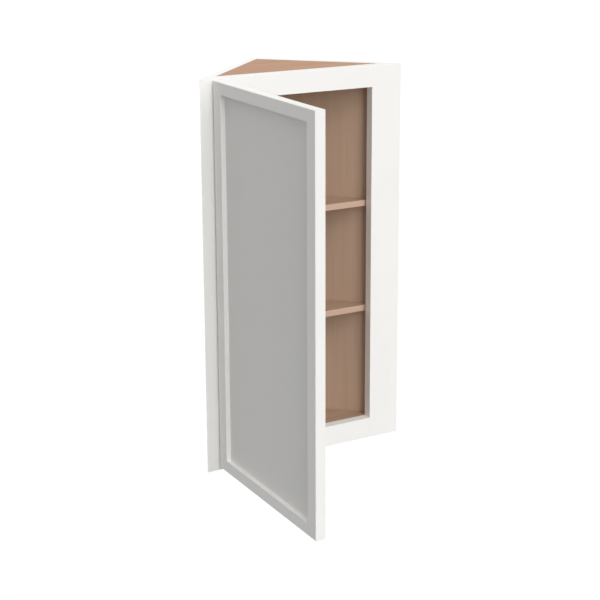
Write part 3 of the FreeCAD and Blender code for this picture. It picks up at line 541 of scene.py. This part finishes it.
def coat_node(node, material):
    """Finishes a CAD node whose own shape is right."""
    slots = frame["nodes"][node].data.materials
    slots.clear()
    slots.append(finish(material))


def complete(piece, node, materials):
    """Finishes a piece and puts it in the place of its CAD node, on the body it moves with."""
    paint_faces(piece, materials)
    shade_smooth(piece)
    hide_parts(node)
    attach(piece, frame["nodes"][node]["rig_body"])


def dress(node, name, materials, rounded=None, size=0.0):
    """Makes a board: the finished piece that shows instead of a CAD node."""
    piece = copy_of(node, name)
    if rounded is not None:
        round_edges(piece, rounded, size)
    complete(piece, node, materials)


def finish_fitting(node, name, material, rounding):
    """Makes a small piece whose edges are rounded as by pressing, turning or moulding."""
    piece = copy_of(node, name)
    bevel_all(piece, rounding)
    complete(piece, node, [(material, None)])


def finish_screws(node, rounding, outwards):
    """Makes screws with rounded heads; `outwards` gives a screw's way out from its place."""
    piece = copy_of(node, node + "_driven")
    bevel_all(piece, rounding, 3)
    cut_recesses(piece, outwards)
    complete(piece, node, [("zinc_plated_steel", None)])


# ---------------------------------------------------------------- carcass, shelves and door

class CABINET_OT_side_panels(bpy.types.Operator):
    """Side panels: lacquered outside and on their edges, maple inside, bare core in the holes"""
    bl_idname = "cabinet.side_panels"
    bl_label = "Side panels"

    def execute(self, context):
        size = context.scene.cabinet_sizes.board_round
        for node, out, fore in (("left_side_panel", OUT_LEFT, FORE_LEFT),
                                ("right_side_panel", OUT_RIGHT, FORE_RIGHT)):
            corners = [vertex.co for vertex in frame["nodes"][node].data.vertices]
            inside, outside = span(corners, out)
            rear, front = span(corners, fore)
            bottom, top = span(corners, UP)

            def outer_end(start, end):
                at_end = start.z < bottom + SAME or start.z > top - SAME
                level = abs(start.z - end.z) < SAME
                return at_end and level and min(start.dot(out), end.dot(out)) > outside - SAME

            def mapled(centre, normal):
                return normal.dot(out) < -0.9

            def drilled(centre, normal):
                if abs(normal.dot(out)) > 0.5:
                    return inside + MM < centre.dot(out) < outside - MM
                return rear + MM < centre.dot(fore) < front - MM and bottom + MM < centre.z < top - MM

            dress(node, node + "_board",
                  [("sprayed_satin_lacquer", None), ("maple_laminate_upright", mapled),
                   ("chipboard_core", drilled)], outer_end, size)
        return {"FINISHED"}


class CABINET_OT_decks(bpy.types.Operator):
    """Top and bottom decks in maple laminate"""
    bl_idname = "cabinet.decks"
    bl_label = "Decks"

    def execute(self, context):
        dress("top_deck", "top_deck_board", [("maple_laminate_top", None)])
        dress("bottom_deck", "bottom_deck_board", [("maple_laminate_across", None)])
        return {"FINISHED"}


class CABINET_OT_face_frame(bpy.types.Operator):
    """Stiles and rails of the face frame in white lacquer, with the dowels that hold them"""
    bl_idname = "cabinet.face_frame"
    bl_label = "Face frame"

    def execute(self, context):
        size = context.scene.cabinet_sizes.board_round
        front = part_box("top_frame_rail")[0].y
        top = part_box("top_frame_rail")[1].z

        def outer_front(start, end):
            at_end = start.z < SAME or start.z > top - SAME
            level = abs(start.z - end.z) < SAME
            return at_end and level and max(start.y, end.y) < front + SAME

        for node in ("left_frame_stile", "right_frame_stile", "top_frame_rail", "bottom_frame_rail"):
            dress(node, node + "_lacquered", [("sprayed_satin_lacquer", None)], outer_front, size)
        coat_node("frame_dowels", "bare_beech")
        return {"FINISHED"}


class CABINET_OT_shelves(bpy.types.Operator):
    """Shelves in maple laminate with their edge bands"""
    bl_idname = "cabinet.shelves"
    bl_label = "Shelves"

    def execute(self, context):
        size = context.scene.cabinet_sizes.shelf_round
        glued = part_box("lower_shelf")[0].y
        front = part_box("lower_shelf_edge_band")[0].y

        def at_walls(start, end):
            return max(start.y, end.y) > glued + SAME

        def in_front(start, end):
            return max(start.y, end.y) < front + SAME

        for shelf in ("lower_shelf", "upper_shelf"):
            dress(shelf, shelf + "_board", [("maple_laminate_across", None)], at_walls, size)
            # The front bands take the lighter tan, which is painted light.
            dress(shelf + "_edge_band", shelf + "_front_band", [("edge_band_maple_painted_light", None)],
                  in_front, size)
        return {"FINISHED"}


class CABINET_OT_door(bpy.types.Operator):
    """Door stiles and rails in white lacquer, and the panel in a greyer copy of it whose grey is painted
    shade
    """
    bl_idname = "cabinet.door"
    bl_label = "Door"

    def execute(self, context):
        for node in ("door_hinge_stile", "door_free_stile", "door_top_rail", "door_bottom_rail"):
            dress(node, node + "_lacquered", [("sprayed_satin_lacquer", None)])
        # The door panel gets the darker copy of the lacquer, whose grey is painted shade.
        dress("door_panel", "door_panel_lacquered", [("satin_lacquer_panel_painted_shade", None)])
        return {"FINISHED"}


class CABINET_OT_screws(bpy.types.Operator):
    """Screws with rounded heads and cross recesses"""
    bl_idname = "cabinet.screws"
    bl_label = "Screws"

    def execute(self, context):
        def sideways(centre):
            return OUT_RIGHT if centre.x > 0 else OUT_LEFT

        finish_screws("deck_screws", 0.2 * MM, sideways)
        for hinge in HINGES:
            finish_screws(hinge + "_cup_screws", 0.7 * MM, lambda centre: DOOR_BACK)
            finish_screws(hinge + "_bracket_screws", 0.7 * MM, lambda centre: DOOR_BACK)
        return {"FINISHED"}


class CABINET_OT_hinges(bpy.types.Operator):
    """Concealed hinges: pressed cups, links and brackets, turned pins, springs and dampers"""
    bl_idname = "cabinet.hinges"
    bl_label = "Hinges"

    def execute(self, context):
        pressed = context.scene.cabinet_sizes.metal_round
        for hinge in HINGES:
            for part in ("cup", "bracket", "side_links", "centre_link"):
                finish_fitting(hinge + "_" + part, hinge + "_pressed_" + part,
                               "nickel_plated_pressed_steel", pressed)
            for part in ("side_pins", "centre_pin", "arm_pins"):
                finish_fitting(hinge + "_" + part, hinge + "_turned_" + part,
                               "turned_pin_steel", pressed)
            finish_fitting(hinge + "_spring", hinge + "_leaf_spring",
                           "oiled_spring_steel", pressed / 2)
            finish_fitting(hinge + "_damper", hinge + "_soft_close_damper",
                           "moulded_acetal", pressed * 2)
        return {"FINISHED"}


class CABINET_OT_pins_and_bumpers(bpy.types.Operator):
    """Shelf pins and the door's soft bumpers"""
    bl_idname = "cabinet.pins_and_bumpers"
    bl_label = "Shelf pins and bumpers"

    def execute(self, context):
        rounding = context.scene.cabinet_sizes.metal_round
        for node in ("lower_shelf_pins", "upper_shelf_pins"):
            finish_fitting(node, node + "_turned", "turned_pin_steel", rounding)
        finish_fitting("door_bumpers", "door_bumpers_domed", "clear_soft_bumper", rounding / 2)
        return {"FINISHED"}


# ---------------------------------------------------------------- studio

def backdrop_share(material):
    """One for rays that see the background itself, straight or in a reflection."""
    path = add_node(material, "ShaderNodeLightPath")
    first = add_node(material, "ShaderNodeMath", {"operation": "MAXIMUM"})
    link(material, path.outputs["Is Camera Ray"], first.inputs[0])
    link(material, path.outputs["Is Glossy Ray"], first.inputs[1])
    second = add_node(material, "ShaderNodeMath", {"operation": "MAXIMUM"})
    link(material, first.outputs[0], second.inputs[0])
    link(material, path.outputs["Is Transmission Ray"], second.inputs[1])
    return second.outputs[0]


def soft_lamp(name, towards, strength, spread):
    """A lamp far away and as broad as a softbox, which shines along `towards`."""
    bpy.ops.object.light_add(type="SUN", location=(0, 0, 0))
    lamp = bpy.context.active_object
    lamp.name = name
    lamp.data.energy = strength
    lamp.data.angle = math.radians(spread)
    lamp.rotation_euler = Vector(towards).to_track_quat("-Z", "Y").to_euler()


class CABINET_OT_studio(bpy.types.Operator):
    """Pale floor, white surroundings, soft lamps and the camera of the photograph"""
    bl_idname = "cabinet.studio"
    bl_label = "Studio"

    def execute(self, context):
        studio = context.scene.cabinet_studio
        world = bpy.data.worlds.new("white_room")
        context.scene.world = world
        world.use_nodes = True
        world.node_tree.nodes.clear()
        ambient = add_node(world, "ShaderNodeBackground", None,
                           {"Color": WHITE, "Strength": studio.ambient})
        white = add_node(world, "ShaderNodeBackground", None, {"Color": WHITE, "Strength": 1.0})
        mixed = add_node(world, "ShaderNodeMixShader", None, None, {"Fac": backdrop_share(world)})
        link(world, ambient.outputs[0], mixed.inputs[1])
        link(world, white.outputs[0], mixed.inputs[2])
        add_node(world, "ShaderNodeOutputWorld", None, None, {"Surface": mixed.outputs[0]})

        bpy.ops.object.select_all(action="DESELECT")
        bpy.ops.mesh.primitive_plane_add(size=80, location=(0, 0, -studio.floor_drop))
        floor = context.active_object
        floor.name = "floor"
        paint = bpy.data.materials.new("pale_floor_paint")
        paint.use_nodes = True
        paint.node_tree.nodes.clear()
        bounce = add_node(paint, "ShaderNodeBsdfDiffuse", None, {"Color": rgba(studio.floor_bounce)})
        matt = add_node(paint, "ShaderNodeBsdfDiffuse", None, {"Color": rgba(studio.floor)})
        glow = add_node(paint, "ShaderNodeEmission", None,
                        {"Color": WHITE, "Strength": studio.floor_white})
        shown = add_node(paint, "ShaderNodeMixShader", None, {"Fac": studio.floor_glow})
        link(paint, matt.outputs[0], shown.inputs[1])
        link(paint, glow.outputs[0], shown.inputs[2])
        ground = add_node(paint, "ShaderNodeMixShader", None, None, {"Fac": backdrop_share(paint)})
        link(paint, bounce.outputs[0], ground.inputs[1])
        link(paint, shown.outputs[0], ground.inputs[2])
        add_node(paint, "ShaderNodeOutputMaterial", None, None, {"Surface": ground.outputs[0]})
        floor.data.materials.append(paint)

        soft_lamp("front_softbox", (0.0, 1.0, -0.15), studio.front, 35)
        soft_lamp("key_softbox", (0.0, 0.8, -0.7), studio.key, 35)
        soft_lamp("top_softbox", (0.0, 0.05, -1.0), studio.top, 60)
        soft_lamp("back_softbox", (0.0, -1.0, 0.0), studio.back, 60)

        bpy.ops.object.camera_add(location=(0, 0, 0))
        camera = context.active_object
        camera.name = "photo_camera"
        yaw, pitch = math.radians(YAW), math.radians(PITCH)
        ahead = Vector((math.sin(yaw), math.cos(yaw), 0))
        look = ahead * math.cos(pitch) - UP * math.sin(pitch)
        right = Vector((math.cos(yaw), -math.sin(yaw), 0))
        turn = Matrix((right, right.cross(look), -look)).transposed().to_4x4()
        camera.matrix_world = Matrix.Translation(EYE) @ turn
        camera.data.lens = camera.data.sensor_width * FOCAL / IMAGE
        camera.data.shift_x = (IMAGE / 2 - AHEAD_X) / IMAGE
        camera.data.shift_y = (AHEAD_Y - IMAGE / 2) / IMAGE
        camera.data.clip_end = 200
        context.scene.camera = camera
        context.scene.view_settings.view_transform = "Standard"
        return {"FINISHED"}


class CABINET_PT_sidebar(bpy.types.Panel):
    """Lists the pieces of the cabinet with the values that shape and colour them"""
    bl_idname = "CABINET_PT_sidebar"
    bl_label = "Corner wall cabinet"
    bl_space_type = "VIEW_3D"
    bl_region_type = "UI"
    bl_category = "Cabinet"

    def draw(self, context):
        for name in ("cabinet_finishes", "cabinet_sizes", "cabinet_studio"):
            values = getattr(context.scene, name)
            box = self.layout.box()
            for key in values.__annotations__:
                box.prop(values, key)
        for operator in OPERATORS:
            self.layout.operator(operator.bl_idname)


GROUPS = {
    "cabinet_finishes": CabinetFinishes,
    "cabinet_sizes": CabinetSizes,
    "cabinet_studio": CabinetStudio,
}
OPERATORS = [
    CABINET_OT_finishes,
    CABINET_OT_side_panels,
    CABINET_OT_decks,
    CABINET_OT_face_frame,
    CABINET_OT_shelves,
    CABINET_OT_door,
    CABINET_OT_screws,
    CABINET_OT_hinges,
    CABINET_OT_pins_and_bumpers,
    CABINET_OT_studio,
]


def register():
    for name, group in GROUPS.items():
        bpy.utils.register_class(group)
        setattr(bpy.types.Scene, name, bpy.props.PointerProperty(type=group))
    for operator in OPERATORS:
        bpy.utils.register_class(operator)
    bpy.utils.register_class(CABINET_PT_sidebar)


def unregister():
    bpy.utils.unregister_class(CABINET_PT_sidebar)
    for operator in reversed(OPERATORS):
        bpy.utils.unregister_class(operator)
    for name, group in GROUPS.items():
        delattr(bpy.types.Scene, name)
        bpy.utils.unregister_class(group)


def main():
    register()
    for operator in OPERATORS:
        call = getattr(bpy.ops.cabinet, operator.bl_idname.split(".")[1])
        call()


if __name__ == "__main__":
    main()
